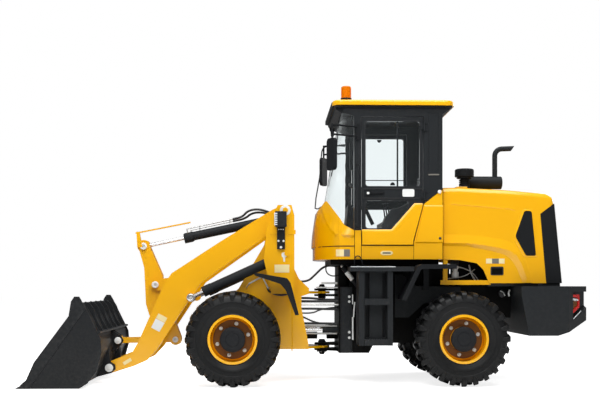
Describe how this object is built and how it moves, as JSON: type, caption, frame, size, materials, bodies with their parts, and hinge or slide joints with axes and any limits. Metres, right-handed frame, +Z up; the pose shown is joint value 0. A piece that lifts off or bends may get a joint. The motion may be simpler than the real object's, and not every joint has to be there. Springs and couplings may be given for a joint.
{
  "type": "articulated wheel loader",
  "caption": "Articulated wheel loader with a Z-bar bucket linkage, glazed cab with opening doors, rounded engine cover and rear counterweight",
  "frame": {"origin": "on the ground, under the middle of the bounding box", "axes": "bucket along -X, driver's left side -Y, +Z up"},
  "size_m": [6.318, 2.08, 3.3546],
  "materials": {
    "yellow_paint": "gloss enamel",
    "black_paint": "satin enamel",
    "bucket_paint": "satin enamel",
    "tyre_rubber": "matte",
    "rod_chrome": "polished",
    "cast_black": "satin",
    "window_glass": "clear",
    "amber_lens": "gloss",
    "red_lens": "gloss",
    "black_plastic": "textured",
    "seat_cover": "grained"
  },
  "bodies": {
    "rear_frame": {"rear_frame": "black_paint", "engine_and_gearbox": "cast_black", "rear_axle": "cast_black", "counterweight": "cast_black", "tail_lamps": "red_lens", "hood": "yellow_paint", "grilles": "black_paint", "exhaust": "black_paint", "air_precleaner": "black_plastic", "cab_body": "yellow_paint", "cab_frame": "black_paint", "cab_roof": "yellow_paint", "windscreen": "window_glass", "rear_window": "window_glass", "seat": "seat_cover", "steering_console": "black_plastic", "beacon": "amber_lens", "mirrors": "black_plastic", "access_steps": "black_paint", "rear_fenders": "black_plastic"},
    "front_frame": {"front_frame": "yellow_paint", "front_axle": "cast_black", "front_fenders": "black_plastic", "headlamps": "black_plastic"},
    "boom": {"boom": "yellow_paint"},
    "bellcrank": {"bellcrank": "yellow_paint"},
    "tilt_link": {"tilt_link": "yellow_paint"},
    "bucket": {"bucket": "bucket_paint"},
    "lift_barrels": {"lift_barrels": "black_paint"},
    "lift_rods": {"lift_rods": "rod_chrome"},
    "tilt_barrel": {"tilt_barrel": "black_paint"},
    "tilt_rod": {"tilt_rod": "rod_chrome"},
    "steer_barrel_left": {"steer_barrel_left": "black_paint"},
    "steer_barrel_right": {"steer_barrel_right": "black_paint"},
    "steer_rod_left": {"steer_rod_left": "rod_chrome"},
    "steer_rod_right": {"steer_rod_right": "rod_chrome"},
    "door_left": {"door_left": "black_paint", "door_glass_left": "window_glass"},
    "door_right": {"door_right": "black_paint", "door_glass_right": "window_glass"},
    "wheel_front_left": {"tyre_front_left": "tyre_rubber", "rim_front_left": "yellow_paint"},
    "wheel_front_right": {"tyre_front_right": "tyre_rubber", "rim_front_right": "yellow_paint"},
    "wheel_rear_left": {"tyre_rear_left": "tyre_rubber", "rim_rear_left": "yellow_paint"},
    "wheel_rear_right": {"tyre_rear_right": "tyre_rubber", "rim_rear_right": "yellow_paint"}
  },
  "joints": [
    {"name": "steer", "type": "hinge", "parent": "rear_frame", "child": "front_frame", "pos_m": [0.182, 0, 0.7], "axis": [0, 0, 1], "range_deg": [-35, 35]},
    {"name": "boom_lift", "type": "hinge", "parent": "front_frame", "child": "boom", "pos_m": [-0.259, 0, 1.961], "axis": [0, 1, 0], "range_deg": [0, 70]},
    {"name": "bucket_tilt", "type": "hinge", "parent": "boom", "child": "bucket", "pos_m": [-2.247, 0, 0.183], "axis": [0, -1, 0], "range_deg": [-40, 110]},
    {"name": "bellcrank_turn", "type": "hinge", "parent": "boom", "child": "bellcrank", "pos_m": [-1.769, 0, 1.122], "axis": [0, 1, 0], "range_deg": [-13.9, 37.35]},
    {"name": "tilt_link_turn", "type": "hinge", "parent": "bucket", "child": "tilt_link", "pos_m": [-2.204, 0, 0.471], "axis": [0, 1, 0], "range_deg": [-30.5, 83]},
    {"name": "lift_barrel_turn", "type": "hinge", "parent": "front_frame", "child": "lift_barrels", "pos_m": [-0.24, 0, 1.472], "axis": [0, 1, 0], "range_deg": [-0.5, 66.44]},
    {"name": "lift_rod_slide", "type": "slide", "parent": "lift_barrels", "child": "lift_rods", "axis": [-0.9099, 0, -0.4147], "range_m": [-0.005, 0.55698]},
    {"name": "tilt_barrel_turn", "type": "hinge", "parent": "front_frame", "child": "tilt_barrel", "pos_m": [-0.304, 0, 1.912], "axis": [0, 1, 0], "range_deg": [-0.5, 71.35]},
    {"name": "tilt_rod_slide", "type": "slide", "parent": "tilt_barrel", "child": "tilt_rod", "axis": [-0.9783, 0, -0.2072], "range_m": [-0.29346, 0.10989]},
    {"name": "steer_barrel_left_turn", "type": "hinge", "parent": "rear_frame", "child": "steer_barrel_left", "pos_m": [0.602, -0.23, 0.6], "axis": [0, 0, 1], "range_deg": [-13.03, 13.03]},
    {"name": "steer_rod_left_slide", "type": "slide", "parent": "steer_barrel_left", "child": "steer_rod_left", "axis": [-0.9999, -0.0152, 0], "range_m": [-0.14663, 0.14663]},
    {"name": "steer_barrel_right_turn", "type": "hinge", "parent": "rear_frame", "child": "steer_barrel_right", "pos_m": [0.602, 0.23, 0.6], "axis": [0, 0, 1], "range_deg": [-13.03, 13.03]},
    {"name": "steer_rod_right_slide", "type": "slide", "parent": "steer_barrel_right", "child": "steer_rod_right", "axis": [-0.9999, 0.0152, 0], "range_m": [-0.14663, 0.14663]},
    {"name": "wheel_front_left_spin", "type": "hinge", "parent": "front_frame", "child": "wheel_front_left", "pos_m": [-0.838, -0.78, 0.525], "axis": [0, 1, 0], "continuous": true},
    {"name": "wheel_front_right_spin", "type": "hinge", "parent": "front_frame", "child": "wheel_front_right", "pos_m": [-0.838, 0.78, 0.525], "axis": [0, 1, 0], "continuous": true},
    {"name": "wheel_rear_left_spin", "type": "hinge", "parent": "rear_frame", "child": "wheel_rear_left", "pos_m": [1.687, -0.78, 0.525], "axis": [0, 1, 0], "continuous": true},
    {"name": "wheel_rear_right_spin", "type": "hinge", "parent": "rear_frame", "child": "wheel_rear_right", "pos_m": [1.687, 0.78, 0.525], "axis": [0, 1, 0], "continuous": true},
    {"name": "door_left_swing", "type": "hinge", "parent": "rear_frame", "child": "door_left", "pos_m": [1.29, -0.694, 2.2], "axis": [0, 0, 1], "range_deg": [0, 85]},
    {"name": "door_right_swing", "type": "hinge", "parent": "rear_frame", "child": "door_right", "pos_m": [1.29, 0.694, 2.2], "axis": [0, 0, -1], "range_deg": [0, 85]}
  ],
  "couplings": [
    {"joint": "bellcrank_turn", "follows": "bucket_tilt", "ratio": 0.335},
    {"joint": "tilt_link_turn", "follows": "bucket_tilt", "ratio": 0.75},
    {"joint": "lift_barrel_turn", "follows": "boom_lift", "ratio": 0.94198},
    {"joint": "lift_rod_slide", "follows": "boom_lift", "m_per_rad": 0.45181},
    {"joint": "tilt_barrel_turn", "follows": "boom_lift", "ratio": 1.0122},
    {"joint": "tilt_rod_slide", "follows": "bucket_tilt", "m_per_rad": -0.15025},
    {"joint": "steer_barrel_left_turn", "follows": "steer", "ratio": 0.35798},
    {"joint": "steer_rod_left_slide", "follows": "steer", "m_per_rad": -0.23185},
    {"joint": "steer_barrel_right_turn", "follows": "steer", "ratio": 0.35798},
    {"joint": "steer_rod_right_slide", "follows": "steer", "m_per_rad": 0.23185}
  ]
}
